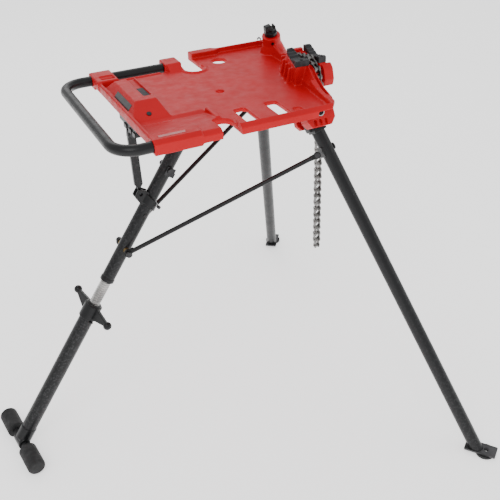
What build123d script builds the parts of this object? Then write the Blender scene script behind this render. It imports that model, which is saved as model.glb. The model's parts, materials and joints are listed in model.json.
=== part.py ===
from build123d import *
import math
import os

# Portable folding tripod stand with a tool tray and a chain vise for pipe, in millimetres.
# +X points from the carry handle to the vise, +Y to the left leg, +Z up, floor at Z = 0.

# ---- driving dimensions ----
RIM_Z = 886.0            # top of the tray's rim
FLOOR_Z = 872.0          # top of the tray's floor
BASE_Z = 862.0           # underside of the tray's edge
FLOOR_T = 5.0            # thickness of the tray's floor
TRAY_REAR, TRAY_FRONT = -236.0, 206.0
TRAY_RIGHT, TRAY_LEFT = -228.0, 276.0
HANDLE_R = 12.5          # carry handle tube
HANDLE_Z = 873.0
HANDLE_RIGHT_Y, HANDLE_LEFT_Y, HANDLE_REAR_X = -212.0, 226.0, -313.0
HANDLE_BEND = 52.0
BOSS_WALL = 16.5         # from the handle's centre line to the top of its bosses

LEG_R = 16.7             # front legs and upper rear tube
LEG_WALL = 2.6
LOWER_R = 19.0           # lower rear tube
REAR_PIVOT = Vector(-80, 0, 799)
REAR_FOOT = Vector(-607, 0, 22.5)
FRONT_PIVOT = Vector(181, -131.5, 828)
FRONT_FOOT = Vector(434.6, -573, 13)
FOLD_SHORT = 6.0         # degrees, how far short of level the folded rear leg stops
T_FOOT_YAW = 6.4         # degrees, how far the T foot is turned out of square
GRIP_R = 22.5

UPPER_TUBE_END = 430.0   # along the rear leg, from its pivot
NUT_AT = 512.0
WING_AT = 515.0
LOWER_TUBE_START = 548.0
CROSS_PIN_AT = 336.0     # where the brace rods are pinned
CROSS_PIN_Y = 31.0
UPPER_BOLT_AT = 107.0
COLLAR_AT = 200.0
COLLAR_PIN_AT = 190.4
COLLAR_PIN_H = 32.1
STRUT_TOP = Vector(-218, 0, 817)
SCREW_R, SCREW_PITCH = 13.5, 6.0
ROD_R = 5.6
ROD_EYE_OUT = 30.4       # eye of a brace rod, behind its front leg's centre line

CHAIN_X, CHAIN_PITCH, CHAIN_PLATE_H = 240.0, 19.05, 15.0
CHAIN_HINGE = Vector(240, -77, 868)

GAP = 0.35               # clearance between parts that move past each other
FIT = 0.05               # radial clearance of a running fit

X, Y, Z = Vector(1, 0, 0), Vector(0, 1, 0), Vector(0, 0, 1)


# ---- vectors and frames ----
def unit(v):
    return v * (1 / v.length)


def turned(v, axis, degrees):
    return v.rotate(Axis((0, 0, 0), tuple(axis)), degrees)


def signed_angle(a, b, axis):
    """Angle in degrees that turns a to b about axis."""
    return math.degrees(math.atan2(a.cross(b).dot(axis), a.dot(b)))


def bisect(f, low, high):
    for _ in range(60):
        middle = (low + high) / 2
        low, high = (middle, high) if f(low) * f(middle) > 0 else (low, middle)
    return (low + high) / 2


REAR_DIR = unit(REAR_FOOT - REAR_PIVOT)
REAR_LENGTH = (REAR_FOOT - REAR_PIVOT).length
REAR_SIDE = Y.cross(REAR_DIR)                  # out of the leg, to the rear and up
REAR_FOLD = signed_angle(REAR_DIR, -X, Y) - FOLD_SHORT
FRONT_DIR = unit(FRONT_FOOT - FRONT_PIVOT)
FRONT_LENGTH = (FRONT_FOOT - FRONT_PIVOT).length
FRONT_AXIS = unit(FRONT_DIR.cross(X))          # hinge axis of the right front leg
FRONT_AXIS = FRONT_AXIS if FRONT_AXIS.Y > 0 else -FRONT_AXIS
FRONT_FOLD = signed_angle(FRONT_DIR, -X, FRONT_AXIS)
FRONT_SIDE = FRONT_AXIS.cross(FRONT_DIR)       # out of the leg, to the rear

REAR_LEG = Plane(REAR_PIVOT, x_dir=REAR_SIDE, z_dir=REAR_DIR)
FRONT_LEG = Plane(FRONT_PIVOT, x_dir=FRONT_SIDE, z_dir=FRONT_DIR)
SOCKET = Plane(FRONT_PIVOT, x_dir=X, z_dir=-FRONT_AXIS)


def rod_rear_eye(fold):
    """Pin of the right brace rod on the rear leg, at fold 0 (open) to 1."""
    along = turned(REAR_DIR, Y, REAR_FOLD * fold) * CROSS_PIN_AT
    return REAR_PIVOT + along - Y * CROSS_PIN_Y


def rod_front_eye(fold, drop):
    """Point on the right front leg that the rod's front eye meets."""
    reach = FRONT_DIR * drop + FRONT_SIDE * ROD_EYE_OUT
    return FRONT_PIVOT + turned(reach, FRONT_AXIS, FRONT_FOLD * fold)


def rod_stretch(drop):
    """Rod length when open less its length when folded."""
    return ((rod_front_eye(0, drop) - rod_rear_eye(0)).length
            - (rod_front_eye(1, drop) - rod_rear_eye(1)).length)


ROD_DROP = bisect(rod_stretch, 40, 130)        # the one place where both lengths agree
ROD_REAR, ROD_FRONT = rod_rear_eye(0), rod_front_eye(0, ROD_DROP)
ROD_DIR = unit(ROD_FRONT - ROD_REAR)


def rod_hinge():
    """Axis of a brace rod on the rear leg, and how far it turns there in a fold."""
    folded = turned(unit(rod_front_eye(1, ROD_DROP) - rod_rear_eye(1)), Y, -REAR_FOLD)
    change = unit(folded - ROD_DIR)
    axis = unit(Y - change * Y.dot(change))
    flat_open = ROD_DIR - axis * ROD_DIR.dot(axis)
    flat_folded = folded - axis * folded.dot(axis)
    return axis, signed_angle(flat_open, flat_folded, axis)


ROD_AXIS, ROD_TURN = rod_hinge()


def collar_pin(along, fold):
    reach = REAR_DIR * along + REAR_SIDE * COLLAR_PIN_H
    return REAR_PIVOT + turned(reach, Y, REAR_FOLD * fold)


STRUT_LENGTH = (collar_pin(COLLAR_PIN_AT, 0) - STRUT_TOP).length
COLLAR_FOLDED_AT = bisect(lambda at: (collar_pin(at, 1) - STRUT_TOP).length - STRUT_LENGTH, 220, 400)
STRUT_DIR = unit(collar_pin(COLLAR_PIN_AT, 0) - STRUT_TOP)
STRUT_TURN = signed_angle(STRUT_DIR, unit(collar_pin(COLLAR_FOLDED_AT, 1) - STRUT_TOP), Y)


# ---- solids ----
def box(x0, x1, y0, y1, z0, z1):
    return Pos((x0 + x1) / 2, (y0 + y1) / 2, (z0 + z1) / 2) * Box(x1 - x0, y1 - y0, z1 - z0)


def rod(r, z0, z1):
    return Pos(0, 0, (z0 + z1) / 2) * Cylinder(r, z1 - z0)


def ring(r_out, r_in, z0, z1):
    return rod(r_out, z0, z1) - rod(r_in, z0 - 1, z1 + 1)


def placed(plane, shape):
    return plane.location * shape


def between(a, b, r):
    """Cylinder from point a to point b."""
    return placed(Plane(a, z_dir=b - a), rod(r, 0, (b - a).length))


def outline(points, r=0.0):
    face = make_face(Polyline(*points, close=True))
    return fillet(face.vertices(), r) if r else face


def prism(points, z0, z1, r=0.0):
    return extrude(Pos(0, 0, z0) * outline(points, r), z1 - z0)


def across_y(points, y0, y1):
    """Prism of an (x, z) outline from y0 to y1."""
    plane = Plane((0, y0, 0), x_dir=(1, 0, 0), z_dir=(0, -1, 0))
    return extrude(plane * outline(points), -(y1 - y0))


def across_x(points, x0, x1):
    """Prism of a (y, z) outline from x0 to x1."""
    plane = Plane((x0, 0, 0), x_dir=(0, 1, 0), z_dir=(1, 0, 0))
    return extrude(plane * outline(points), x1 - x0)


def softened(shape, edges, r):
    """Shape with those edges rounded, at the largest radius up to r that holds."""
    for size in (r, r * 0.6, r * 0.35):
        try:
            result = fillet(edges, size)
            if result.is_valid and len(result.solids()) == len(shape.solids()):
                return result
        except ValueError:
            continue
    return shape


def mirrored(shape):
    return mirror(shape, about=Plane.XZ)


def hex_bolt(r, length, head_r, head_h, socket=True):
    """Cap screw with its shank up from Z = 0 and its head below."""
    head = Pos(0, 0, -head_h / 2) * Cylinder(head_r, head_h)
    head = softened(head, head.edges().group_by(Axis.Z)[0], head_h * 0.25)
    if socket:
        head -= Pos(0, 0, -head_h * 0.7) * extrude(RegularPolygon(head_r * 0.5, 6), -head_h)
    return head + rod(r, -0.5, length)


# ---- tray ----
def tray_edge():
    """Plan outline of the tray, anticlockwise from its rear right corner."""
    return [(TRAY_REAR, TRAY_RIGHT), (TRAY_FRONT - 20, TRAY_RIGHT), (TRAY_FRONT, TRAY_RIGHT + 26),
            (TRAY_FRONT + 10, -40), (264, 110), (284, 206), (266, TRAY_LEFT), (122, TRAY_LEFT - 2),
            (108, TRAY_LEFT + 9), (26, TRAY_LEFT + 9), (26, 252), (-49, 252), (TRAY_REAR, 240)]


def tray_pocket():
    """Plan outline of the floor between the rims."""
    return [(-67, TRAY_RIGHT + 14), (188, TRAY_RIGHT + 14), (196, -184), (206, -20), (244, 138),
            (256, TRAY_LEFT - 8), (128, TRAY_LEFT - 8), (112, TRAY_LEFT - 20), (-67, TRAY_LEFT - 20)]


FLOOR_WINDOWS = ((-9, 21, -200, -112), (70, 101, -200, -109), (113, 134, -200, -167))
FLOOR_HOLES = ((101.5, 210.5, 20.0), (14, 8, 10.0))


def floor_openings(grow, z0, z1):
    """The windows and round holes through the floor, wider by grow all round."""
    cuts = [Pos(x, y, 0) * rod(r + grow, z0, z1) for x, y, r in FLOOR_HOLES]
    for x0, x1, y0, y1 in FLOOR_WINDOWS:
        window = Pos((x0 + x1) / 2, (y0 + y1) / 2, z0) * RectangleRounded(
            x1 - x0 + 2 * grow, y1 - y0 + 2 * grow, 8 + grow)
        cuts.append(extrude(window, z1 - z0))
    return cuts


def notch(x, y, r, channel_x0, channel_x1, y_end):
    """Round-bottomed notch that runs out of the tray's edge at y_end."""
    cut = Pos(x, y, RIM_Z - 10) * Cylinder(r, 60)
    return cut + box(channel_x0, channel_x1, min(y, y_end), max(y, y_end), RIM_Z - 40, RIM_Z + 20)


def rear_block():
    """Raised block across the rear, sloped on all sides, with a channel open to its left end."""
    top, low = 901.0, FLOOR_Z - FLOOR_T
    right_foot, right_top, left_top, left_foot = -76, -24, 122, 152
    block = across_y([(TRAY_REAR, low), (TRAY_REAR, 868), (-208, top), (-157, top), (-143, FLOOR_Z),
                      (-143, low)], right_foot, left_foot)
    for foot, edge, beyond in ((right_foot, right_top, -120), (left_foot, left_top, 180)):
        block -= across_x([(foot, FLOOR_Z), (edge, top), (edge, top + 20), (beyond, top + 20),
                           (beyond, FLOOR_Z)], -240, -90)
    block = softened(block, block.edges().group_by(Axis.Z)[-1], 2)
    return block - box(-178, -160, -1, 170, top - 8, top + 5)


def handle_bosses():
    """Blocks on the tray's edge that the carry handle runs through."""
    low, top = HANDLE_Z - 15.5, HANDLE_Z + BOSS_WALL
    rear_left = box(TRAY_REAR - 2, -184, 164, 243, FLOOR_Z - 6, top)
    rear_left += box(TRAY_REAR - 2, -184, 200, 243, low, top)
    rear_left = softened(rear_left, rear_left.edges().group_by(Axis.Z)[-1], 4)
    rear_left -= box(-224, -190, 174, 202, top - 6, top + 5)
    front_left = box(-50, -6, 200, 252, low, top)
    front_left = softened(front_left, front_left.edges(), 4)
    front_left += across_x([(176, FLOOR_Z), (201, top - 1.5), (201, FLOOR_Z)], -46, -10)
    rear_right = box(TRAY_REAR - 2, -130, TRAY_RIGHT, -196, low, top)
    return [rear_left, front_left, rear_right]


REAR_JAW = [(185, -54), (222, -56), (231, 46), (215, 44)]       # plan outlines of the jaws
FRONT_JAW = [(250, -54), (270, -54), (284, 49), (266, 51)]
JAW_BASE, JAW_TOP = 919.0, 933.0


def vise_pedestal():
    """Pedestal of the vise with its rear gussets, near fin, front lug and far wall."""
    low = Pos(0, 0, BASE_Z) * outline([(185, -53), (292, -53), (300, 88), (212, 88)])
    high = Pos(0, 0, JAW_BASE - 0.05) * outline([(186, -53), (270, -53), (283, 48), (216, 48)])
    pedestal = loft([low, high])
    for y, foot in ((-22, 176), (10, 184), (40, 192)):
        pedestal += across_y([(foot, FLOOR_Z - 3), (240, FLOOR_Z - 3), (240, 908), (foot + 9, 908)], y - 3, y + 3)
    pedestal += box(233, 262, 44, 56, 880, 927)
    side = across_x([(-45, BASE_Z), (-45, 918), (-60, 919), (-92, 903), (-130, 891), (-178, 885), (-190, 880),
                     (-190, BASE_Z)], 180, 245)
    fin = side & prism([(204, -40), (233, -40), (210, -196), (193, -192)], BASE_Z - 1, 930)
    fin -= across_y([(180, FLOOR_Z), (203, FLOOR_Z), (217, 922), (180, 922)], -100, -42)
    fin -= prism([(221, -50), (228, -50), (208, -186), (202, -186)], 878, 930) & across_x(
        [(-48, 910), (-66, 909), (-92, 894), (-130, 882), (-182, 877), (-190, 940), (-48, 940)], 180, 245)
    pedestal += fin
    lug = across_x([(-44.5, 862), (-44.5, 914), (-56, 916), (-66, 905), (-73, 880), (-68, 862)], 257, 284)
    pedestal += softened(lug, lug.edges().filter_by(Axis.X), 5)
    pedestal -= box(CHAIN_X - 12, CHAIN_X + 12, -110, 43, 893, 980)
    pedestal -= box(CHAIN_X - 12.5, CHAIN_X + 12.5, -110, -58, 800, 980)
    return pedestal


BRACE_FOOT, BRACE_TOP = Vector(258, 200, 868), Vector(245, 187, 925)
BRACE_DIR = unit(BRACE_TOP - BRACE_FOOT)
BRACE = Plane(BRACE_TOP, x_dir=unit(X - BRACE_DIR * X.dot(BRACE_DIR)), z_dir=BRACE_DIR)


def brace_boss():
    """Leaning boss at the left front corner that holds the ceiling brace screw, with its web to the vise."""
    flare = Pos(0, 0, -42) * Cone(38, 24.5, 40)
    boss = placed(BRACE, rod(24.5, -60, 0) + flare + rod(38, -80, -62)) - box(180, 340, 120, 290, 820, BASE_Z)
    web = across_x([(176, 866), (172, 906), (128, 892), (46, 917), (46, 866)], 240, 247)
    boss += web + box(222, 264, 84, 90, 866, 900)
    return boss


def rear_trough():
    """Room over the strip at the right rear: a step down from the floor, then a gentle rise to the edge."""
    return across_x([(-74, FLOOR_Z), (-88, FLOOR_Z - 5), (TRAY_RIGHT + 30, HANDLE_Z + BOSS_WALL),
                     (TRAY_RIGHT + 30, RIM_Z + 30), (-74, RIM_Z + 30)], -228, -67)


def notch_lip(x, y, r):
    """Low rounded lip round a notch's end."""
    lip = Pos(x, y, FLOOR_Z - 2) * (Cylinder(r + 9, 12) - Cylinder(r - 1, 14))
    return softened(lip, lip.edges().group_by(Axis.Z)[-1], 4)


def underside_pocket():
    """Hollow under the floor, which leaves a wall round every opening."""
    hollow = prism([(-224, -66), (-62, -66), (-62, -150), (186, -212), (192, -180), (192, -40), (240, 120),
                    (244, 190), (150, 252), (64, 252), (64, 190), (-224, 186)], BASE_Z - 1, FLOOR_Z - FLOOR_T)
    for wall in floor_openings(4.5, BASE_Z - 5, FLOOR_Z):
        hollow -= wall
    return hollow - Pos(-62, -176, BASE_Z) * Cylinder(28, 40) - Pos(20, 182, BASE_Z) * Cylinder(31, 40)


def tray_casting():
    shell = prism(tray_edge(), BASE_Z, RIM_Z, 8)
    shell = softened(shell, shell.edges().group_by(Axis.Z)[-1], 4)
    shell -= prism(tray_pocket(), FLOOR_Z, RIM_Z + 30, 10) + box(-228, -60, -74, 192, FLOOR_Z, RIM_Z + 30)
    shell -= underside_pocket()
    shell -= rear_trough()
    rib = box(-66, -54, -150, -84, FLOOR_Z - 4, RIM_Z - 5)
    shell += softened(rib, rib.edges().group_by(Axis.Z)[-1] + rib.edges().filter_by(Axis.Z), 4)
    for lip in (notch_lip(-62, -176, 23), notch_lip(20, 182, 26)):
        shell += lip & box(-230, 250, TRAY_RIGHT + 6, TRAY_LEFT - 8, BASE_Z, RIM_Z)
    shell -= box(-184, -50, 199, 300, 800, 960) + box(-184, -50, 192, 300, FLOOR_Z + 3, 960)
    for boss in handle_bosses():
        shell += boss
    shell += rear_block() + vise_pedestal() + brace_boss()
    for x0, x1, lift in ((-250, -130, 4), (-130, 220, 0)):
        shell -= across_x([(TRAY_RIGHT + 14, RIM_Z + 2 + lift), (TRAY_RIGHT - 1, RIM_Z - 8 + lift),
                           (TRAY_RIGHT - 20, RIM_Z - 8 + lift), (TRAY_RIGHT - 20, RIM_Z + 20),
                           (TRAY_RIGHT + 14, RIM_Z + 20)], x0, x1)
    shell -= box(150, 214, TRAY_RIGHT - 10, -196, BASE_Z - 10, RIM_Z - 10)
    shell -= notch(-62, -176, 23, -84, -40, TRAY_RIGHT - 20)
    shell -= notch(20, 182, 26, -5, 44, TRAY_LEFT + 20)
    for cut in floor_openings(0, BASE_Z - 30, RIM_Z + 30):
        shell -= cut
    shell -= placed(Plane((-260, HANDLE_RIGHT_Y, HANDLE_Z), z_dir=(1, 0, 0)), rod(HANDLE_R + FIT, -10, 108))
    shell -= placed(Plane((-260, HANDLE_LEFT_Y, HANDLE_Z), z_dir=(1, 0, 0)), rod(HANDLE_R + FIT, -10, 251))
    shell -= placed(BRACE, rod(9 + GAP, -66, 10))
    shell -= placed(Plane(CHAIN_PATH_START + Vector(0, 0, -60), z_dir=(0, 0, 1)), rod(8 + GAP, -30, 90))
    shell -= box(CHAIN_X - 12.5, CHAIN_X + 12.5, -100, -56, 800, 980)
    for piece in (*handle_screw_cuts(), block_screw(), brace_set_screw(), *blank_plates()):
        shell -= piece
    return max(shell.solids(), key=lambda solid: solid.volume)


CHAIN_PATH_START = Vector(CHAIN_X, 30, 915)


def handle_screw_axes():
    """Places of the screws that hold the handle in its bosses, pointing up."""
    return [Pos(-168, HANDLE_RIGHT_Y, HANDLE_Z - 15.5), Pos(-208, HANDLE_LEFT_Y, HANDLE_Z - 15.5),
            Pos(-28, HANDLE_LEFT_Y, HANDLE_Z - 15.5)]


def handle_screw_cuts():
    return [place * rod(3.1, -2, 7) for place in handle_screw_axes()]


def handle_screws():
    return [place * hex_bolt(3.0, 6.0, 5.5, 4.0) for place in handle_screw_axes()]


def carry_handle():
    """U-shaped tube: open ends in the right rear boss and the left front boss."""
    path = FilletPolyline((-155, HANDLE_RIGHT_Y, HANDLE_Z), (HANDLE_REAR_X, HANDLE_RIGHT_Y, HANDLE_Z),
                          (HANDLE_REAR_X, HANDLE_LEFT_Y, HANDLE_Z), (-12, HANDLE_LEFT_Y, HANDLE_Z),
                          radius=HANDLE_BEND)
    start = Plane((-155, HANDLE_RIGHT_Y, HANDLE_Z), z_dir=(-1, 0, 0))
    section = start * (Circle(HANDLE_R) - Circle(HANDLE_R - 2.2))
    tube = sweep(section, path)
    for place in handle_screw_axes():
        tube -= place * rod(3.1, -2, 7)
    return tube


def tray_pad():
    return box(-177.5, -160.5, -0.5, 60, 893.0, 896.5)


def block_screw():
    plane = Plane((-189, -60, 880.9), z_dir=(0, -29, 52))
    return placed(plane, rod(5.5, -2, 1))


def rear_stop_plate():
    """Black plate under the rear edge with feet that meet the strut's bracket."""
    plate = box(-234, -224, -96, 20, 850, BASE_Z)
    for y in (-84, -58, -24):
        plate += box(-237, -221, y - 8, y + 8, 844, 854)
    return plate


def blank_plates():
    """Blank nameplates: one on the rear slope, one on the strip at the right."""
    slope = Plane((-222, 26, 884.5), x_dir=(0, 1, 0), z_dir=(-33, 0, 28))
    strip = Plane((-191, TRAY_RIGHT + 23, HANDLE_Z + BOSS_WALL), z_dir=(0, 0, 1))
    return [placed(slope, Box(100, 22, 1.0)), placed(strip, Box(60, 10, 0.8))]


# ---- vise ----
def v_jaw(plan, low_y, high_y):
    """Steel V block between two y's, cut to a plan outline, with teeth along both slopes."""
    teeth, depth, flat, bottom = 6, 2.2, 11.0, JAW_BASE + 3.5
    step = (high_y - low_y - 2 * flat) / (2 * teeth)
    points = [(low_y - 5, JAW_BASE), (low_y - 5, JAW_TOP), (low_y + flat, JAW_TOP)]
    for i in range(1, 2 * teeth):
        slope = bottom + (JAW_TOP - bottom) * abs(i / teeth - 1)
        points.append((low_y + flat + i * step, slope - depth * (i % 2)))
    points += [(high_y - flat, JAW_TOP), (high_y + 5, JAW_TOP), (high_y + 5, JAW_BASE)]
    return across_x(points, 180, 290) & prism(plan, JAW_BASE, JAW_TOP)


def jaw_screw_places():
    return [Pos(x, y, JAW_TOP) for x, y in ((204, -49), (222, 39), (260.5, -48), (273.5, 43.5))]


def jaw_with_seats(plan, low_y, high_y):
    jaw = v_jaw(plan, low_y, high_y)
    for place in jaw_screw_places():
        jaw -= place * rod(4.2, -6, 5)
        jaw -= place * rod(2.5, -40, 0)
    return jaw


def jaw_screws():
    return [place * (rod(4.0, -6, -2.6) - extrude(Pos(0, 0, -4.6) * RegularPolygon(2.1, 6), 4)
                     + rod(2.4, -13.5, -5.9)) for place in jaw_screw_places()]


def chain_anchor():
    """Steel fork that holds the first chain pin and is drawn down by the tension screw."""
    stem = placed(Plane(CHAIN_PATH_START, z_dir=(0, 0, 1)), rod(8, -88, -11))
    block = box(CHAIN_X - 3.4, CHAIN_X + 3.4, 22, 38, 901, 921)
    block -= placed(Plane(CHAIN_PATH_START, z_dir=(1, 0, 0)), rod(2.55, -10, 10))
    return stem + block


def tension_knob():
    """Three-lobed hand knob on the tension screw, under the tray."""
    hub = rod(15, 0, 22)
    for i in range(3):
        hub += Rot(0, 0, 120 * i) * (Pos(26, 0, 9) * Cylinder(10, 14) + box(0, 26, -9, 9, 2, 16))
    hub -= rod(8 + FIT, -1, 23)
    return Pos(CHAIN_X, CHAIN_PATH_START.Y, 828) * hub


# ---- chain ----
def chain_joints(start, stops):
    """Pin centres every pitch along a (y, z) line of stops, in the chain's plane."""
    pins, here, target = [start], start, 0
    while target < len(stops):
        goal = stops[target]
        if (goal - here).length < CHAIN_PITCH:
            target += 1
            continue
        here = here + unit(goal - here) * CHAIN_PITCH
        pins.append(here)
    return pins


def chain_plate(a, b, x0, x1):
    """Flat figure-eight link plate round pins a and b, from x0 to x1 across the chain."""
    length = (b - a).length
    half = CHAIN_PLATE_H / 2
    shape = Pos(0, 0) * Circle(half) + Pos(length, 0) * Circle(half) + Pos(length / 2, 0) * Rectangle(length, half * 1.3)
    shape -= Circle(2.55) + Pos(length, 0) * Circle(2.55)
    plane = Plane(Vector(CHAIN_X + x0, a.Y, a.Z), x_dir=b - a, z_dir=(1, 0, 0))
    return extrude(plane * shape, x1 - x0)


def chain_links(pins, first=0):
    """Link plates in pairs, wide and narrow in turn."""
    plates = []
    for i, (a, b) in enumerate(zip(pins, pins[1:])):
        inner = (i + first) % 2 == 0
        x0, x1 = (3.6, 5.6) if inner else (5.7, 7.7)
        plates += [chain_plate(a, b, x0, x1), chain_plate(a, b, -x1, -x0)]
    return plates


def chain_pins(pins):
    """The link pins."""
    return [placed(Plane(Vector(CHAIN_X, p.Y, p.Z), z_dir=(1, 0, 0)), rod(2.5, -9.3, 9.3)) for p in pins]


def chain_rollers(pins):
    """The roller on each pin, between the inner plates."""
    return [placed(Plane(Vector(CHAIN_X, p.Y, p.Z), z_dir=(1, 0, 0)), ring(4.6, 2.55, -3.5, 3.5)) for p in pins]


VISE_CHAIN = chain_joints(CHAIN_PATH_START, [Vector(CHAIN_X, -42, 927), Vector(CHAIN_X, -66, 905),
                                             Vector(CHAIN_X, -77, 868)])
HANG_TOP = Vector(CHAIN_X, VISE_CHAIN[-1].Y, VISE_CHAIN[-1].Z) - Z * CHAIN_PITCH
HANG_COUNT = 24
HANG_PINS = [HANG_TOP - Z * CHAIN_PITCH * i for i in range(HANG_COUNT)]
HANG_SPLIT = 12


# ---- front legs (the right one; the left is its mirror image) ----
def socket_web():
    """Wall on the socket's front side that the open leg stands against."""
    lean = math.radians(90) - math.acos(FRONT_DIR.X)
    reach = (LEG_R + 1.2) / math.cos(lean)

    def wall(v):
        return -v * math.tan(lean) + reach

    points = [(wall(26), 26), (wall(-33), -33), (37, -33), (37, 26)]
    return prism(points, -18.5, 18.5)


def leg_socket():
    """Clevis casting under the tray's corner, tilted with the leg's hinge axis."""
    outer = prism([(-37, 60), (37, 60), (37, -18), (24, -34), (-26, -34), (-37, -20)], 18.2, 54, 4)
    inner = prism([(-30, 60), (37, 60), (37, -18), (24, -32), (-20, -32), (-30, -20)], -34, -18.2, 4)
    for x in (-18, -4, 10):
        outer -= box(x - 3.5, x + 3.5, -40, -17, 46, 60)
    body = outer + inner + socket_web()
    body -= rod(11, 44, 60) + rod(6 + FIT, -40, 60)
    body = placed(SOCKET, body)
    body -= box(-300, 500, -400, 400, BASE_Z, BASE_Z + 200)
    return max(body.solids(), key=lambda s: s.volume)


def pivot_bolt():
    shaft = rod(6, -38, 40) + rod(9, 44, 50)
    shaft -= Pos(0, 0, 46) * extrude(RegularPolygon(4.5, 6), 10)
    shaft += rod(6, 39, 45) + rod(9.5, -41, -34)
    return placed(SOCKET, shaft)


def pivot_ring():
    return placed(SOCKET, ring(10.9, 9.2, 50.5, 54.6))


def knuckle():
    """Block at the leg's top: round about the hinge, with a shoulder on its rear side."""
    body = rod(17.0, -17.7, 17.7) + box(-16.9, 16.9, 0, 44, -17.7, 17.7)
    shoulder = box(10, 25, 4, 38, -12, 12)
    body += softened(shoulder, shoulder.edges(), 3)
    along_leg = Plane(FRONT_PIVOT, x_dir=FRONT_SIDE, z_dir=FRONT_SIDE.cross(FRONT_DIR))
    body = placed(along_leg, body) - placed(FRONT_LEG, rod(LEG_R - 0.9 + FIT, 14, 60))
    return body - placed(SOCKET, rod(6 + FIT, -40, 40))


def front_leg_tube():
    tube = placed(FRONT_LEG, ring(LEG_R - 0.9, LEG_R - LEG_WALL - 0.9, 14, 46)
                  + ring(LEG_R, LEG_R - LEG_WALL, 44.05, FRONT_LENGTH + 40))
    tube -= box(0, 900, -900, 0, -100, FRONT_FOOT.Z)
    tube = max(tube.solids(), key=lambda s: s.volume)
    return tube - placed(ROD_LUG, rod(4.5 + FIT, -40, 40))


ROD_LUG = Plane(FRONT_PIVOT + FRONT_DIR * ROD_DROP, x_dir=FRONT_AXIS, z_dir=FRONT_SIDE)


def rod_lug():
    """Saddle on the leg's rear side that faces the brace rod's eye."""
    saddle = box(-11, 11, -13, 13, 10, LEG_R + 1.6)
    saddle = softened(saddle, saddle.edges().filter_by(Axis.Z), 4)
    return placed(ROD_LUG, saddle - rod(4.5 + FIT, -40, 40)) - placed(FRONT_LEG, rod(LEG_R, 0, 200))


def rod_lug_bolt():
    """Bolt through the leg that holds the saddle, with its head and ring at the front."""
    bolt = rod(4.5, -LEG_R - 1, LEG_R + 1.4) + rod(8.5, -LEG_R - 3.6, -LEG_R)
    return placed(ROD_LUG, bolt - Pos(0, 0, -LEG_R - 6) * extrude(RegularPolygon(4.4, 6), 4.6))


FOOT_OUT = unit(Vector(0.60, -0.80, 0))
FOOT = Plane(Vector(FRONT_FOOT.X, FRONT_FOOT.Y, 0), x_dir=FOOT_OUT, z_dir=(0, 0, 1))
FOOT_HOLE = 28.0


def foot_plate():
    plate = prism([(-26, -19), (54, -19), (54, 19), (-26, 19)], 8, 13, 3)
    return placed(FOOT, plate - Pos(FOOT_HOLE, 0, 10) * Cylinder(6.5, 20))


def foot_pad():
    pad = Pos(FOOT_HOLE - 2, 0, 4) * Cylinder(25, 8)
    pad = softened(pad, pad.edges().group_by(Axis.Z)[0], 2.5)
    return placed(FOOT, pad - Pos(FOOT_HOLE, 0, 4) * Cylinder(7.5, 20))


# ---- rear leg ----
def rear_leg_bracket():
    """Yoke under the tray that holds the rear leg's pin."""
    yoke = box(-118, -44, -32, 32, BASE_Z - 8, FLOOR_Z - FLOOR_T)
    for s in (-1, 1):
        ear = across_y([(-116, BASE_Z - 4), (-46, BASE_Z - 4), (-60, 788), (-66, 783), (-94, 783),
                        (-100, 788)], 17.4, 24)
        yoke += ear if s > 0 else mirrored(ear)
    return yoke - placed(Plane((-80, -60, 799), z_dir=(0, 1, 0)), rod(7 + FIT, 0, 120))


def rear_leg_pin():
    pin = rod(7, -28, 28) + rod(10.5, -31, -24.2) + rod(10.5, 24.2, 31)
    return placed(Plane(REAR_PIVOT, z_dir=(0, 1, 0)), pin)


def rear_leg_tube():
    tube = ring(LEG_R, LEG_R - LEG_WALL, -17, UPPER_TUBE_END - 6)
    for at, r in ((0, 7 + FIT), (UPPER_BOLT_AT, 4 + FIT), (CROSS_PIN_AT, 5 + FIT), (COLLAR_AT + 36, 3 + FIT)):
        tube -= placed(Plane((0, 0, at), z_dir=(0, 1, 0)), rod(r, -30, 30))
    return placed(REAR_LEG, tube)


def rear_end_collar():
    """Turned end piece: a plug in the tube that is threaded on the levelling screw."""
    piece = rod(LEG_R + 1.3, UPPER_TUBE_END - 6, UPPER_TUBE_END + 4)
    piece = softened(piece, piece.edges(), 1.2)
    piece += rod(LEG_R - LEG_WALL - FIT, UPPER_TUBE_END - 40, UPPER_TUBE_END - 5)
    return placed(REAR_LEG, piece - rod(SCREW_R + 0.0, UPPER_TUBE_END - 50, UPPER_TUBE_END + 10))


def grooved_screw(r, depth, pitch, z0, z1):
    """Screw with its thread drawn as rings, which holds the pitch and the depth."""
    count = int((z1 - z0) / pitch)
    points = [(0, z0)]
    for i in range(count):
        z = z0 + i * pitch
        points += [(r - depth, z), (r - depth, z + pitch * 0.35), (r, z + pitch * 0.5), (r, z + pitch * 0.85)]
    points += [(r - depth, z0 + count * pitch), (0, z0 + count * pitch)]
    face = make_face(Plane.XZ * Polyline(*points, close=True))
    return revolve(face, Axis.Z)


def levelling_screw():
    thread = grooved_screw(SCREW_R, 1.6, SCREW_PITCH, UPPER_TUBE_END - 36, UPPER_TUBE_END + 228)
    return placed(REAR_LEG, thread)


def cross_bolt(at, r, reach, head_r, head_h):
    """Bolt through the rear leg across the stand, with a head at each end."""
    shape = rod(r, -reach, reach) + rod(head_r, -reach - head_h, -reach) + rod(head_r, reach, reach + head_h)
    return placed(REAR_LEG, placed(Plane((0, 0, at), z_dir=(0, 1, 0)), shape))


def rod_bushes():
    """Brass bushes that hold the brace rods off the rear leg."""
    bushes = []
    for s in (-1, 1):
        across = Plane((0, 0, CROSS_PIN_AT), x_dir=(1, 0, 0), z_dir=(0, s, 0))
        bush = placed(across, ring(7.5, 5 + FIT, 14.0, 25.6)) - rod(LEG_R + 0.02, 300, 370)
        bushes.append(placed(REAR_LEG, bush))
    return bushes


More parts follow.
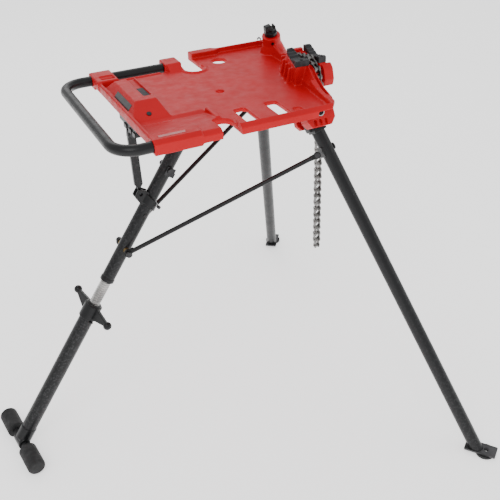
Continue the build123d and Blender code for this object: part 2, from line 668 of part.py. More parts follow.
def latch_clip():
    """Bent clip under the upper bolt's right end that keeps the folded legs together."""
    clip = box(-13, 9, -25.5, -22.5, UPPER_BOLT_AT - 8, UPPER_BOLT_AT + 14)
    clip += box(-16, -13, -25.5, -12.5, UPPER_BOLT_AT + 2, UPPER_BOLT_AT + 14)
    clip -= placed(Plane((0, 0, UPPER_BOLT_AT), z_dir=(0, 1, 0)), rod(4 + FIT, -40, 0))
    return placed(REAR_LEG, clip) - placed(REAR_LEG, rod(LEG_R + 0.3, 80, 130))


def guide_rivet():
    return placed(REAR_LEG, placed(Plane((0, 0, COLLAR_AT + 36), z_dir=(0, 1, 0)), rod(3, -20, -12)))


def slide_collar():
    """Sleeve that slides on the rear leg, with ears for the strut and a keyway."""
    r_out, half = 23.0, 21.0
    body = rod(r_out, COLLAR_AT - half, COLLAR_AT + half)
    slant = box(-60, 60, -40, 40, 0, 60)
    body -= Pos(0, 0, COLLAR_AT - half - 52) * Rot(0, 18, 0) * slant
    body -= Pos(0, 0, COLLAR_AT + half - 8) * Rot(0, 18, 0) * slant
    for s in (-1, 1):
        ear = extrude(Plane((0, s * 6.2, 0), x_dir=(1, 0, 0), z_dir=(0, 1, 0)) * outline(
            [(12, -COLLAR_AT - 18), (COLLAR_PIN_H + 11, -COLLAR_PIN_AT - 12),
             (COLLAR_PIN_H + 11, -COLLAR_PIN_AT + 11), (12, -COLLAR_AT + 22)], 5), s * 5)
        body += ear
    body -= rod(LEG_R + GAP, 100, 300)
    body -= box(-3.8, 3.8, -22.0, 0, 100, 300)
    body -= placed(Plane((COLLAR_PIN_H, 0, COLLAR_PIN_AT), z_dir=(0, 1, 0)), rod(4.2, -30, 30))
    return placed(REAR_LEG, body)


def collar_bolt():
    place = Plane((-16, -8, COLLAR_AT + 2), z_dir=(-0.3, -1, 0))
    screw = placed(place, rod(4.2, 12, 18) - extrude(Pos(0, 0, 15.5) * RegularPolygon(2.1, 6), 6))
    return placed(REAR_LEG, screw - rod(23.0, 150, 250))


STRUT = Plane(STRUT_TOP, x_dir=Y.cross(STRUT_DIR), z_dir=STRUT_DIR)


def strut_bracket():
    """U bracket under the tray's rear edge with the strut's fixed pin."""
    x, z = STRUT_TOP.X, STRUT_TOP.Z
    bracket = box(x - 4, x + 24, -16, 16, BASE_Z - 5, FLOOR_Z - FLOOR_T)
    for y0, y1 in ((-10, -5.8), (5.8, 10)):
        bracket += across_y([(x - 9, z - 8), (x + 9, z - 8), (x + 22, BASE_Z - 2), (x - 4, BASE_Z - 2)], y0, y1)
    return bracket - placed(Plane((x, -20, z), z_dir=(0, 1, 0)), rod(4 + FIT, 0, 40))


def strut_pin():
    return placed(Plane(STRUT_TOP, z_dir=(0, 1, 0)), rod(4, -11, 11) + rod(6.5, -13.5, -10.1) + rod(6.5, 10.1, 13.5))


def strut_bar():
    """Flat bar with a round top eye and a narrow neck to its lower eye."""
    half, neck, end = 9.8, 4.5, STRUT_LENGTH
    points = [(-half, 0), (-half, end - 24), (-neck, end - 17), (-neck, end), (neck, end), (neck, end - 17),
              (half, end - 24), (half, 0)]
    shape = extrude(outline(points), 4.5, both=True)
    shape += Cylinder(half, 9) + Pos(0, end, 0) * Cylinder(7.5, 9)
    shape -= Cylinder(4 + FIT, 40) + Pos(0, end, 0) * Cylinder(4, 40)
    groove = box(-3, 3, 18, end - 34, 3.0, 9)
    across = STRUT_DIR.cross(Y)
    return placed(Plane(STRUT_TOP, x_dir=across, z_dir=across.cross(STRUT_DIR)), shape - groove)


def strut_foot_pin():
    """Pin in the strut's lower eye; it stops short of the collar's ears, where the linkage is open."""
    return placed(Plane(collar_pin(COLLAR_PIN_AT, 0), z_dir=(0, 1, 0)), rod(4, -5.6, 5.6))


# ---- lower rear leg ----
def lower_leg_tube():
    return placed(REAR_LEG, ring(LOWER_R, LOWER_R - 3.0, LOWER_TUBE_START, REAR_LENGTH - 20))


def nut_seat():
    """Plug in the top of the lower tube that the wing nut turns on, with its two tabs."""
    seat = rod(LOWER_R - 3.0 - FIT, LOWER_TUBE_START, LOWER_TUBE_START + 24)
    seat += rod(LOWER_R, LOWER_TUBE_START - 3, LOWER_TUBE_START)
    for turn in (80, 260):
        seat += Rot(0, 0, turn) * box(18.5, 27, -4, 4, LOWER_TUBE_START - 3, LOWER_TUBE_START)
    return placed(REAR_LEG, seat - rod(SCREW_R + GAP, LOWER_TUBE_START - 10, LOWER_TUBE_START + 40))


WING_TURN, WING_REACH = 170.0, 84.0


def wing_nut():
    """Wing nut with webbed arms that end in balls."""
    top, bottom = NUT_AT - 10, LOWER_TUBE_START - 3 - GAP
    hub = rod(23, top + 4, bottom) + rod(19, top, top + 5)
    hub = softened(hub, hub.edges().group_by(Axis.Z)[0], 2)
    for s in (0, 180):
        web = across_y([(15, bottom - 4), (WING_REACH, WING_AT + 4), (WING_REACH, WING_AT - 4), (15, top + 4)], -5, 5)
        arm = web + Pos(WING_REACH, 0, WING_AT) * Sphere(10.5)
        hub += Rot(0, 0, s) * arm
    hub -= rod(SCREW_R + FIT, top - 10, bottom + 10)
    return placed(REAR_LEG, Rot(0, 0, 90 + WING_TURN) * hub)


T_DIR = Vector(-math.sin(math.radians(T_FOOT_YAW)), math.cos(math.radians(T_FOOT_YAW)), 0)
T_FOOT = Plane(REAR_FOOT, x_dir=Z.cross(T_DIR), z_dir=T_DIR)
T_HALF, GRIP_START, T_BAR_R = 118.0, 42.0, 10.5


def t_foot_bar():
    bar = rod(T_BAR_R, -T_HALF + 8, T_HALF - 8)
    return placed(T_FOOT, bar - rod(T_BAR_R - 2.6, -T_HALF, T_HALF))


def t_foot_grips():
    grips = []
    for s in (-1, 1):
        grip = rod(GRIP_R, GRIP_START, T_HALF)
        grip = softened(grip, grip.edges().group_by(Axis.Z)[-1], 9)
        grip = softened(grip, grip.edges().group_by(Axis.Z)[0], 2.5)
        grip -= rod(T_BAR_R + FIT, 0, T_HALF - 8 + FIT)
        grips.append(placed(T_FOOT, grip if s > 0 else Rot(180, 0, 0) * grip))
    return grips


def foot_saddle():
    """Block that joins the lower tube to the T foot's bar."""
    block = placed(T_FOOT, rod(15.5, -22, 22))
    block += placed(REAR_LEG, rod(LOWER_R + 1.6, REAR_LENGTH - 46, REAR_LENGTH - 8))
    block -= placed(REAR_LEG, rod(LOWER_R + FIT, REAR_LENGTH - 60, REAR_LENGTH - 20))
    return block - placed(T_FOOT, rod(T_BAR_R + FIT, -60, 60))


# ---- brace rods (the right one; the left is its mirror image) ----
def brace_rod():
    """Round rod with a flat eye at each end."""
    half, tongue = 2.5, 18.0
    front_normal = unit(FRONT_AXIS - ROD_DIR * FRONT_AXIS.dot(ROD_DIR))
    shape = between(ROD_REAR + ROD_DIR * 13, ROD_FRONT - ROD_DIR * 13, ROD_R)
    for centre, normal, along, eye_r, hole_r in ((ROD_REAR, ROD_AXIS, ROD_DIR, 10.0, 6.2),
                                                 (ROD_FRONT, front_normal, -ROD_DIR, 8.6, 4.05)):
        eye = Plane(centre, x_dir=along, z_dir=normal)
        shape += placed(eye, rod(eye_r, -half, half) + box(0, tongue, -6, 6, -half, half))
        shape -= placed(eye, rod(hole_r, -15, 15))
    head_room = placed(Plane(ROD_REAR, z_dir=(0, 1, 0)), rod(9.6, -30, -4.2))
    return shape - head_room


def brace_rod_pin():
    """Rivet in the rod's front eye, the free side of the linkage's open pivot."""
    front_normal = unit(FRONT_AXIS - ROD_DIR * FRONT_AXIS.dot(ROD_DIR))
    rivet = rod(4.0, -2.5, 2.5) + rod(6.2, 2.5, 5.0) + rod(6.2, -5.0, -2.5)
    return placed(Plane(ROD_FRONT, z_dir=front_normal), rivet)


# ---- ceiling brace screw ----
BRACE_TRAVEL = 30.0


def brace_screw():
    stem = rod(9, -56, 4)
    return placed(BRACE, stem)


def brace_knob():
    """Forked head that turns on the brace screw."""
    head = rod(17, 1.0, 12) + rod(11, 11, 20)
    head = softened(head, head.edges().group_by(Axis.Z)[0], 2)
    for x0, x1, top in ((-16, 2, 31), (8, 13, 27)):
        prong = box(x0, x1, -8, 8, 8, top)
        head += softened(prong, prong.edges().group_by(Axis.Z)[-1], 3)
    head -= rod(9 + FIT, -5, 4 + FIT)
    return placed(BRACE, head)


def brace_set_screw():
    place = Plane((0, 0, -12), z_dir=(-0.35, -1, 0))
    screw = placed(place, rod(4.2, 21, 26.5) - extrude(Pos(0, 0, 25) * RegularPolygon(2.0, 6), 6))
    return placed(BRACE, screw - rod(24.5, -40, 10))


def keeper_cable():
    """Short black keeper that ties the brace's boss to the tray's left rim."""
    first = BRACE_TOP + BRACE.x_dir * -28 + Vector(0, 3, -4)
    last = Vector(first.X + 29, TRAY_LEFT - 4, RIM_Z + 2.8)
    path = Spline(first, (first + last) * 0.5 + Vector(-6, 4, 3), last)
    return sweep(Plane(first, z_dir=path % 0) * Circle(2.4), path)


def node_solids():
    """Every node's name with its solids, before the origin is set."""
    nodes = {
        "tray_casting": [tray_casting()],
        "carry_handle": [carry_handle()],
        "tray_screws": handle_screws() + [block_screw(), brace_set_screw()],
        "tray_pad": [tray_pad()],
        "rear_stop_plate": [rear_stop_plate()],
        "blank_plates": blank_plates(),
        "vise_jaw_rear": [jaw_with_seats(REAR_JAW, -55, 45)],
        "vise_jaw_front": [jaw_with_seats(FRONT_JAW, -54, 50)],
        "vise_jaw_screws": jaw_screws(),
        "chain_anchor": [chain_anchor()],
        "tension_knob": [tension_knob()],
        "vise_chain_plates": chain_links(VISE_CHAIN),
        "vise_chain_pins": chain_pins(VISE_CHAIN) + chain_rollers(VISE_CHAIN[1:]),
        "rear_leg_bracket": [rear_leg_bracket()],
        "strut_bracket": [strut_bracket()],
        "yoke_pins": [rear_leg_pin(), strut_pin()],
        "rear_leg_tube": [rear_leg_tube()],
        "rear_leg_end_collar": [rear_end_collar()],
        "levelling_screw": [levelling_screw()],
        "rear_leg_bolts": [cross_bolt(UPPER_BOLT_AT, 4, 26, 7, 4), guide_rivet()],
        "rod_cross_bolt": [cross_bolt(CROSS_PIN_AT, 5, 36.4, 7.5, 6)],
        "rod_bushes": rod_bushes(),
        "latch_clip": [latch_clip()],
        "slide_collar": [slide_collar()],
        "collar_bolt": [collar_bolt()],
        "strut_bar": [strut_bar()],
        "strut_foot_pin": [strut_foot_pin()],
        "lower_leg_tube": [lower_leg_tube()],
        "nut_seat": [nut_seat()],
        "wing_nut": [wing_nut()],
        "t_foot_bar": [t_foot_bar()],
        "t_foot_grips": t_foot_grips(),
        "foot_saddle": [foot_saddle()],
        "brace_screw": [brace_screw()],
        "brace_knob": [brace_knob()],
        "keeper_cable": [keeper_cable()],
        "hanging_chain_upper_plates": chain_links([VISE_CHAIN[-1]] + HANG_PINS[:HANG_SPLIT + 1],
                                                  len(VISE_CHAIN) - 1),
        "hanging_chain_upper_pins": chain_pins(HANG_PINS[:HANG_SPLIT]) + chain_rollers(HANG_PINS[:HANG_SPLIT]),
        "hanging_chain_lower_plates": chain_links(HANG_PINS[HANG_SPLIT:], len(VISE_CHAIN) + HANG_SPLIT),
        "hanging_chain_lower_pins": chain_pins(HANG_PINS[HANG_SPLIT:]) + chain_rollers(HANG_PINS[HANG_SPLIT:]),
    }
    for name, make in (("leg_sockets", leg_socket), ("leg_pivot_bolts", pivot_bolt), ("leg_pivot_rings", pivot_ring)):
        shape = make()
        nodes[name] = [shape, mirrored(shape)]
    for name, make in (("front_leg_tube", front_leg_tube), ("leg_knuckle", knuckle), ("rod_lug", rod_lug),
                       ("rod_lug_bolt", rod_lug_bolt), ("foot_plate", foot_plate), ("foot_pad", foot_pad),
                       ("brace_rod", brace_rod), ("brace_rod_pin", brace_rod_pin)):
        shape = make()
        nodes[name + "_right"] = [shape]
        nodes[name + "_left"] = [mirrored(shape)]
    return nodes


def solids_of(shapes):
    return [solid for shape in shapes for solid in shape.solids()]


NODES = {name: solids_of(shapes) for name, shapes in node_solids().items()}
BOXES = [solid.bounding_box() for solids in NODES.values() for solid in solids]
LOW = [min(tuple(b.min)[i] for b in BOXES) for i in range(3)]
HIGH = [max(tuple(b.max)[i] for b in BOXES) for i in range(3)]
SHIFT = Vector(-(LOW[0] + HIGH[0]) / 2, -(LOW[1] + HIGH[1]) / 2, -LOW[2])

os.makedirs("parts", exist_ok=True)
for name, solids in NODES.items():
    moved = [solid.moved(Location(SHIFT)) for solid in solids]
    export_step(moved[0] if len(moved) == 1 else Compound(children=moved), f"parts/{name}.step")
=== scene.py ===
import json
import math

import bmesh
import bpy
from mathutils import Matrix, Vector

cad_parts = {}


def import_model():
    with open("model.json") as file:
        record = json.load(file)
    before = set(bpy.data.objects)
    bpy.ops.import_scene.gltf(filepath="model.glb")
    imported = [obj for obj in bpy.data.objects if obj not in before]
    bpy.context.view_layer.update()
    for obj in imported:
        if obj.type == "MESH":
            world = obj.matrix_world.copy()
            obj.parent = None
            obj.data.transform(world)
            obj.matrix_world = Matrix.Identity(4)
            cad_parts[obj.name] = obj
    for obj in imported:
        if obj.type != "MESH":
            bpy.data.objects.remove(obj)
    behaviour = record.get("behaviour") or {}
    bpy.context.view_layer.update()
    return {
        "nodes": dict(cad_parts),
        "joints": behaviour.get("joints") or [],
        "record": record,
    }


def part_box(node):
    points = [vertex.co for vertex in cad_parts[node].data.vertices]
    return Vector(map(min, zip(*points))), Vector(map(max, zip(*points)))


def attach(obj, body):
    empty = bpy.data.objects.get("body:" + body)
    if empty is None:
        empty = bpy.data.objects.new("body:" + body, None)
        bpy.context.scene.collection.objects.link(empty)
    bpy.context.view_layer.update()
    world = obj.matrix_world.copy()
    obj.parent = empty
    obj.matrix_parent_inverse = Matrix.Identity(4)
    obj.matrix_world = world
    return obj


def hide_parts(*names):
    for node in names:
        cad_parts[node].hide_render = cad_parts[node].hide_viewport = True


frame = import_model()
NODES = frame["nodes"]
RECORD = frame["record"]
BODY_OF = {node: body for body, nodes in RECORD["behaviour"]["bodies"].items() for node in nodes}
SLOT_OF = {part["node"]: part["material_slot"] for part in RECORD["subparts"]}
JOINTS = {joint["name"]: joint for joint in frame["joints"]}

MM = 0.001
UP = Vector((0, 0, 1))

# Camera: where it looks, from which side, and with which lens.
CAMERA_TARGET = Vector((0.2105, 0.0, 0.4477))
CAMERA_AZIMUTH, CAMERA_ELEVATION, CAMERA_ROLL = -26.734, 31.286, -1.086
CAMERA_DISTANCE, CAMERA_LENS = 2.134, 56.49
CAMERA_SHIFT = (-0.0354, -0.0357)


# ---- materials ----
class Shader:
    """A Principled material with a few helpers for its node tree."""

    def __init__(self, name, colour, roughness, metallic=0.0, **sockets):
        self.material = bpy.data.materials.new(name)
        self.material.use_nodes = True
        self.nodes = self.material.node_tree.nodes
        self.links = self.material.node_tree.links
        self.bsdf = self.nodes["Principled BSDF"]
        self.set("Base Color", (*colour, 1.0))
        self.set("Roughness", roughness)
        self.set("Metallic", metallic)
        for key, value in sockets.items():
            self.set(key.replace("_", " "), value)
        self.place = self.node("ShaderNodeTexCoord").outputs["Object"]

    def set(self, socket, value):
        self.bsdf.inputs[socket].default_value = value

    def node(self, kind, **values):
        made = self.nodes.new(kind)
        for key, value in values.items():
            if hasattr(made, key):
                setattr(made, key, value)
            else:
                made.inputs[key.replace("_", " ")].default_value = value
        return made

    def noise(self, scale, detail=4.0, roughness=0.55, stretch=(1, 1, 1)):
        mapping = self.node("ShaderNodeMapping")
        mapping.inputs["Scale"].default_value = stretch
        self.links.new(self.place, mapping.inputs["Vector"])
        noise = self.node("ShaderNodeTexNoise", Scale=scale, Detail=detail, Roughness=roughness)
        self.links.new(mapping.outputs["Vector"], noise.inputs["Vector"])
        return noise.outputs["Fac"]

    def spots(self, scale, size):
        """1 on small scattered dots, 0 elsewhere."""
        cells = self.node("ShaderNodeTexVoronoi", Scale=scale)
        self.links.new(self.place, cells.inputs["Vector"])
        return self.ramp(cells.outputs["Distance"], size, size * 1.4, 1.0, 0.0)

    def ramp(self, value, low, high, out_low=0.0, out_high=1.0):
        change = self.node("ShaderNodeMapRange", clamp=True)
        for socket, number in zip(change.inputs[1:5], (low, high, out_low, out_high)):
            socket.default_value = number
        self.links.new(value, change.inputs[0])
        return change.outputs[0]

    def product(self, a, b):
        times = self.node("ShaderNodeMath", operation="MULTIPLY")
        self.links.new(a, times.inputs[0])
        self.links.new(b, times.inputs[1])
        return times.outputs[0]

    def mix(self, factor, a, b):
        """Colour that goes from a to b; each is a colour or a socket."""
        mixer = self.node("ShaderNodeMix", data_type="RGBA")
        self.links.new(factor, mixer.inputs["Factor"])
        for socket, value in ((mixer.inputs[6], a), (mixer.inputs[7], b)):
            if isinstance(value, tuple):
                socket.default_value = (*value, 1.0)
            else:
                self.links.new(value, socket)
        return mixer.outputs[2]

    def edges(self, least):
        """1 where the surface is sharper and more convex than least, 0 elsewhere."""
        geometry = self.node("ShaderNodeNewGeometry")
        return self.ramp(geometry.outputs["Pointiness"], least, least + 0.06)

    def colour(self, output):
        self.links.new(output, self.bsdf.inputs["Base Color"])

    def gloss(self, output):
        self.links.new(output, self.bsdf.inputs["Roughness"])

    def bump(self, height, distance, strength=1.0):
        bump = self.node("ShaderNodeBump", Strength=strength, Distance=distance)
        self.links.new(height, bump.inputs["Height"])
        previous = self.bsdf.inputs["Normal"]
        if previous.is_linked:
            self.links.new(previous.links[0].from_socket, bump.inputs["Normal"])
        self.links.new(bump.outputs["Normal"], previous)


def painted(name, colour, dark, chip, roughness, grain, coat, wear):
    """Enamel on cast or rolled metal: soft orange peel, dust and thin wear on the edges."""
    s = Shader(name, colour, roughness, Coat_Weight=coat, Coat_Roughness=0.2, Specular_IOR_Level=0.2)
    patches = s.ramp(s.noise(9, 5), 0.35, 0.68)
    body = s.mix(patches, dark, colour)
    worn = s.product(s.edges(wear), s.ramp(s.noise(180, 6, 0.7), 0.5, 0.62))
    s.colour(s.mix(worn, body, chip))
    s.gloss(s.ramp(s.noise(40, 6), 0.3, 0.7, roughness * 0.8, roughness * 1.3))
    s.bump(s.noise(grain, 3), 0.0004, 0.35)
    s.bump(s.noise(grain * 0.12, 2), 0.0015, 0.12)
    return s.material


def steel(name, colour, roughness, streak, dirt):
    """Bare or plated steel: fine tool marks one way, smudges and darker grime."""
    s = Shader(name, colour, roughness, metallic=0.9)
    lines = s.noise(60, 5, stretch=streak)
    smudge = s.ramp(s.noise(25, 6, 0.65), 0.42, 0.7)
    s.colour(s.mix(smudge, colour, dirt))
    s.gloss(s.ramp(lines, 0.3, 0.7, roughness * 0.75, roughness * 1.35))
    s.bump(lines, 0.00015, 0.4)
    s.bump(s.noise(400, 3), 0.0001, 0.3)
    return s.material


def rubber(name, colour):
    """Matt rubber or plastic with dust, fine grain and shallow pits."""
    s = Shader(name, colour, 0.72, Specular_IOR_Level=0.35)
    dust = s.ramp(s.noise(30, 6, 0.7), 0.5, 0.78)
    s.colour(s.mix(dust, colour, tuple(c * 2.2 + 0.012 for c in colour)))
    s.gloss(s.ramp(s.noise(90, 4), 0.3, 0.7, 0.6, 0.85))
    s.bump(s.noise(900, 3), 0.0003, 0.5)
    s.bump(s.spots(260, 0.14), 0.0002, 0.2)
    return s.material


def nameplate(name, near, far):
    """Satin blank plate, of one colour on the right strip and another on the rear slope."""
    s = Shader(name, near, 0.3, Coat_Weight=0.3, Coat_Roughness=0.15)
    across = s.node("ShaderNodeSeparateXYZ")
    s.links.new(s.place, across.inputs[0])
    s.colour(s.mix(s.ramp(across.outputs["Y"], -0.12, -0.10), near, far))
    s.gloss(s.ramp(s.noise(60, 5), 0.3, 0.7, 0.24, 0.4))
    s.bump(s.noise(900, 3), 0.0001, 0.2)
    return s.material


RED, RED_DARK, RED_CHIP = (0.50, 0.0005, 0.006), (0.44, 0.0004, 0.004), (0.30, 0.012, 0.014)
BLACK, BLACK_DARK, BLACK_CHIP = (0.0075, 0.0078, 0.0086), (0.006, 0.0062, 0.007), (0.035, 0.035, 0.037)
MATERIALS = {
    "red_paint": painted("red_paint", RED, RED_DARK, RED_CHIP, 0.42, 260, 0.04, 0.53),
    "plate": nameplate("plate", (0.36, 0.001, 0.005), (0.012, 0.012, 0.013)),
    "black_paint": painted("black_paint", BLACK, BLACK_DARK, BLACK_CHIP, 0.36, 700, 0.15, 0.60),
    "jaw_steel": steel("jaw_steel", (0.045, 0.045, 0.048), 0.5, (1, 14, 1), (0.022, 0.022, 0.022)),
    "chain_steel": steel("chain_steel", (0.20, 0.195, 0.19), 0.33, (1, 1, 6), (0.06, 0.056, 0.052)),
    "zinc_steel": steel("zinc_steel", (0.62, 0.62, 0.63), 0.26, (1, 1, 12), (0.40, 0.40, 0.42)),
    "screw_steel": steel("screw_steel", (0.055, 0.055, 0.058), 0.40, (8, 8, 1), (0.025, 0.024, 0.024)),
    "thread_steel": steel("thread_steel", (0.46, 0.45, 0.44), 0.28, (8, 8, 1), (0.22, 0.215, 0.21)),
    "foot_steel": steel("foot_steel", (0.10, 0.10, 0.105), 0.5, (1, 10, 1), (0.06, 0.06, 0.06)),
    "brass": steel("brass", (0.30, 0.21, 0.09), 0.4, (1, 1, 10), (0.14, 0.09, 0.04)),
    "rubber": rubber("rubber", (0.016, 0.016, 0.0165)),
    "pad_plastic": rubber("pad_plastic", (0.035, 0.035, 0.038)),
}


def dress(obj, slot):
    obj.data.materials.clear()
    obj.data.materials.append(MATERIALS[slot])
    return obj


# ---- pieces ----
def shade(obj, angle=35.0):
    """Smooth faces with sharp edges kept above that angle."""
    for face in obj.data.polygons:
        face.use_smooth = True
    bm = bmesh.new()
    bm.from_mesh(obj.data)
    for edge in bm.edges:
        edge.smooth = len(edge.link_faces) == 2 and edge.calc_face_angle(0) < math.radians(angle)
    bm.to_mesh(obj.data)
    bm.free()
    return obj


def add_piece(name, mesh, body, slot, *stands_for):
    """New visible piece that rides a body, wears a slot's material and hides the CAD nodes it stands for."""
    obj = bpy.data.objects.new(name, mesh)
    bpy.context.scene.collection.objects.link(obj)
    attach(obj, body)
    dress(obj, slot)
    if stands_for:
        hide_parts(*stands_for)
    return obj


def soften_edges(obj, width, segments=2, angle=40.0):
    bevel = obj.modifiers.new("edge", "BEVEL")
    bevel.width = width
    bevel.segments = segments
    bevel.limit_method = "ANGLE"
    bevel.angle_limit = math.radians(angle)
    bevel.harden_normals = True
    return obj


def cast_copy(node, voxel, passes):
    """Copy of a CAD node with the rounded edges and corners of a casting."""
    mesh = NODES[node].data.copy()
    obj = bpy.data.objects.new("work", mesh)
    bpy.context.scene.collection.objects.link(obj)
    remesh = obj.modifiers.new("remesh", "REMESH")
    remesh.mode = "VOXEL"
    remesh.voxel_size = voxel
    smooth = obj.modifiers.new("smooth", "CORRECTIVE_SMOOTH")
    smooth.factor, smooth.iterations, smooth.use_only_smooth = 0.5, passes, True
    bpy.context.view_layer.update()
    made = bpy.data.meshes.new_from_object(obj.evaluated_get(bpy.context.evaluated_depsgraph_get()))
    bpy.data.objects.remove(obj)
    for face in made.polygons:
        face.use_smooth = True
    return add_piece(node + "_cast", made, BODY_OF[node], SLOT_OF[node], node)


def along(node, origin, axis):
    """How far a node's points reach along an axis from origin: (least, most)."""
    reach = [(v.co - origin).dot(axis) for v in NODES[node].data.vertices]
    return min(reach), max(reach)


def frame_on(origin, axis, side=UP):
    """Matrix whose z is axis and whose x is as near side as it can be."""
    z = Vector(axis).normalized()
    x = (side - z * side.dot(z)).normalized()
    return Matrix.Translation(origin) @ Matrix((x, z.cross(x), z)).transposed().to_4x4()


def mesh_from(name, verts, faces):
    """New mesh from points and the faces that join them."""
    mesh = bpy.data.meshes.new(name)
    mesh.from_pydata(verts, [], faces)
    mesh.validate()
    return mesh


# Castings: the voxel they are remeshed at and how many smoothing passes they get.
CAST_NODES = {
    "tray_casting": (1.5 * MM, 4),
    "leg_sockets": (1.2 * MM, 4),
    "wing_nut": (1.0 * MM, 5),
    "slide_collar": (0.8 * MM, 4),
    "foot_saddle": (1.2 * MM, 6),
    "leg_knuckle_right": (1.0 * MM, 4),
    "leg_knuckle_left": (1.0 * MM, 4),
    "brace_knob": (0.8 * MM, 4),
    "rear_leg_bracket": (1.2 * MM, 4),
    "tension_knob": (1.0 * MM, 5),
}
# Millimetres of bevel on the sharp edges of cut and pressed pieces.
EDGE_WIDTH = {
    "vise_jaw_rear": 0.8, "vise_jaw_front": 0.8, "strut_bar": 0.8, "strut_bracket": 0.8,
    "foot_plate_right": 0.8, "foot_plate_left": 0.8, "rear_stop_plate": 1.0, "tray_pad": 0.6,
    "vise_chain_plates": 0.35, "hanging_chain_upper_plates": 0.35, "hanging_chain_lower_plates": 0.35,
    "vise_chain_pins": 0.3, "hanging_chain_upper_pins": 0.3, "hanging_chain_lower_pins": 0.3,
    "brace_rod_right": 0.6, "brace_rod_left": 0.6, "latch_clip": 0.4, "rear_leg_end_collar": 0.5,
    "rod_lug_right": 0.6, "rod_lug_left": 0.6, "foot_pad_right": 0.6, "foot_pad_left": 0.6,
}


def cad_nodes():
    for name, obj in NODES.items():
        dress(obj, SLOT_OF[name])
        shade(obj)
        if name in EDGE_WIDTH:
            soften_edges(obj, EDGE_WIDTH[name] * MM)
    for name, (voxel, passes) in CAST_NODES.items():
        cast_copy(name, voxel * (1), passes)


# ---- levelling screw with a real helical thread ----
# The profile's points are (share of the pitch along the axis, share of the depth outward).
SCREW_PITCH, SCREW_DEPTH, SCREW_SEGMENTS = 6.0 * MM, 1.6 * MM, 40
CORE_SHARE = 1.02        # the plain core lies this many depths below the crests
THREAD_PROFILE = ((0.0, 0.0), (0.30, 0.0), (0.46, 0.9), (0.52, 1.0), (0.74, 1.0), (0.80, 0.9), (0.96, 0.0))


def levelling_screw():
    hinge, slide = JOINTS["rear_leg_fold"], JOINTS["lower_leg_slide"]
    origin, axis = Vector(hinge["pos_m"]), Vector(slide["axis"]).normalized()
    low, high = along("levelling_screw", origin, axis)
    place = frame_on(origin, axis)
    outer = max((v.co - origin).cross(axis).length for v in NODES["levelling_screw"].data.vertices)
    steps = int((high - low - SCREW_PITCH) / SCREW_PITCH * SCREW_SEGMENTS)
    verts, faces, row = [], [], len(THREAD_PROFILE)
    for i in range(steps + 1):
        turn = 2 * math.pi * i / SCREW_SEGMENTS
        for part, rise in THREAD_PROFILE:
            r = outer - SCREW_DEPTH * (1 - rise)
            z = low + (i / SCREW_SEGMENTS + part) * SCREW_PITCH
            verts.append(place @ Vector((r * math.cos(turn), r * math.sin(turn), z)))
    for i in range(steps):
        for k in range(row - 1):
            a = i * row + k
            faces.append((a, a + row, a + row + 1, a + 1))
        if i >= SCREW_SEGMENTS:
            a, b = i * row, (i - SCREW_SEGMENTS) * row + row - 1
            faces.append((b, b + row, a + row, a))
    core = outer - SCREW_DEPTH * CORE_SHARE
    for i in range(SCREW_SEGMENTS):
        turns = [2 * math.pi * (i + d) / SCREW_SEGMENTS for d in (0, 1)]
        base = len(verts)
        for turn in turns:
            for z in (low, high):
                verts.append(place @ Vector((core * math.cos(turn), core * math.sin(turn), z)))
        faces.append((base, base + 2, base + 3, base + 1))
    mesh = mesh_from("levelling_thread", verts, faces)
    screw = add_piece("levelling_thread", mesh, "rear_leg", "screw_steel", "levelling_screw")
    dress(screw, "thread_steel")
    shade(screw, 50)


# ---- keeper: oval links from the brace's boss to the tray's rim ----
KEEPER_LINKS, KEEPER_WIRE, KEEPER_INSET = 11, 0.9 * MM, 2.6 * MM
LINK_WIDTH, LINK_OVERLAP = 5.0 * MM, 1.5
KEEPER_RISE = 5 * MM     # how far the chain arches above the straight line


def oval_link(length, width, wire, rings=20, sides=8):
    verts, faces = [], []
    for i in range(rings):
        turn = 2 * math.pi * i / rings
        out = Vector((math.cos(turn), math.sin(turn), 0))
        centre = Vector((out.x * (length / 2 - wire), out.y * (width / 2 - wire), 0))
        for k in range(sides):
            roll = 2 * math.pi * k / sides
            verts.append(centre + out * wire * math.cos(roll) + UP * wire * math.sin(roll))
    for i in range(rings):
        for k in range(sides):
            a, b = i * sides, (i + 1) % rings * sides
            faces.append((a + k, b + k, b + (k + 1) % sides, a + (k + 1) % sides))
    return verts, faces


def keeper_chain():
    low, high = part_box("keeper_cable")
    start = Vector((low.x + KEEPER_INSET, low.y + KEEPER_INSET, high.z - KEEPER_INSET))
    end = Vector((high.x - KEEPER_INSET, high.y - KEEPER_INSET, low.z + KEEPER_INSET))
    run = end - start
    pitch = run.length / KEEPER_LINKS
    verts, faces = [], []
    for i in range(KEEPER_LINKS):
        t = (i + 0.5) / KEEPER_LINKS
        here = start + run * t + UP * KEEPER_RISE * math.sin(math.pi * t)
        heading = (run + UP * KEEPER_RISE * 3.2 * math.cos(math.pi * t)).normalized()
        side = heading.cross(UP).normalized()
        flat = side if i % 2 else side.cross(heading)
        place = Matrix.Translation(here) @ Matrix((heading, flat, heading.cross(flat))).transposed().to_4x4()
        link_verts, link_faces = oval_link(pitch * LINK_OVERLAP, LINK_WIDTH, KEEPER_WIRE)
        faces += [tuple(f + len(verts) for f in face) for face in link_faces]
        verts += [place @ v for v in link_verts]
    mesh = mesh_from("keeper_chain", verts, faces)
    shade(add_piece("keeper_chain", mesh, "tray", "black_paint", "keeper_cable"))


cad_nodes()
levelling_screw()
keeper_chain()


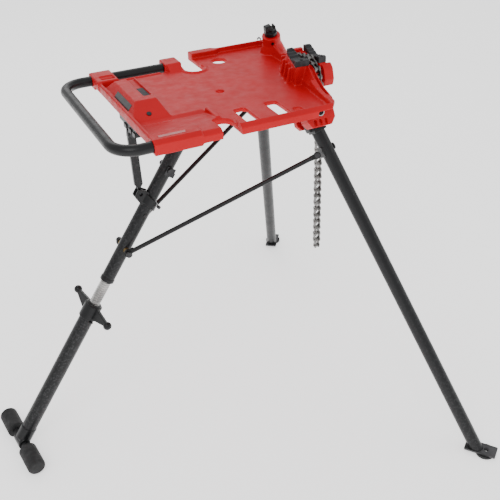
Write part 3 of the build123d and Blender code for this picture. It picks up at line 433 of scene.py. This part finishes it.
# ---- stage, light, camera ----
FLOOR_SIZE = 60.0
SKY_STRENGTH = 0.95
LIGHTS = {                # place, size in metres, power in watts
    "key": ((-1.6, -2.2, 3.2), 2.6, 42),
    "fill": ((2.8, -1.8, 2.0), 2.4, 12),
    "back": ((0.4, 2.8, 3.0), 2.6, 22),
}


def floor():
    bpy.ops.mesh.primitive_plane_add(size=FLOOR_SIZE, location=(0, 0, 0))
    plane = bpy.context.object
    plane.name = "floor"
    s = Shader("floor", (0.97, 0.97, 0.97), 0.95, Specular_IOR_Level=0.1, Emission_Strength=0.9)
    s.set("Emission Color", (1, 1, 1, 1))
    s.colour(s.mix(s.noise(3, 2), (0.96, 0.96, 0.96), (0.98, 0.98, 0.98)))
    plane.data.materials.append(s.material)


def area_light(name, place, size, power):
    light = bpy.data.lights.new(name, "AREA")
    light.shape = "DISK"
    light.size, light.energy = size, power
    obj = bpy.data.objects.new(name, light)
    obj.location = place
    obj.rotation_euler = (CAMERA_TARGET - Vector(place)).to_track_quat("-Z", "Y").to_euler()
    bpy.context.scene.collection.objects.link(obj)


def camera():
    a, e, r = (math.radians(v) for v in (CAMERA_AZIMUTH, CAMERA_ELEVATION, CAMERA_ROLL))
    back = Vector((math.sin(a) * math.cos(e), -math.cos(a) * math.cos(e), math.sin(e)))
    right = Vector((math.cos(a), math.sin(a), 0))
    up = back.cross(right)
    x_axis = right * math.cos(r) + up * math.sin(r)
    y_axis = back.cross(x_axis)
    place = CAMERA_TARGET + back * CAMERA_DISTANCE
    data = bpy.data.cameras.new("camera")
    data.lens, data.sensor_width = CAMERA_LENS, 36.0
    data.shift_x, data.shift_y = CAMERA_SHIFT
    obj = bpy.data.objects.new("camera", data)
    obj.matrix_world = Matrix.Translation(place) @ Matrix((x_axis, y_axis, back)).transposed().to_4x4()
    bpy.context.scene.collection.objects.link(obj)
    bpy.context.scene.camera = obj


def world():
    sky = bpy.data.worlds.new("studio")
    sky.use_nodes = True
    sky.node_tree.nodes["Background"].inputs["Color"].default_value = (1, 1, 1, 1)
    sky.node_tree.nodes["Background"].inputs["Strength"].default_value = SKY_STRENGTH
    bpy.context.scene.world = sky


floor()
world()
for name, (place, size, power) in LIGHTS.items():
    area_light(name, place, size, power)
camera()
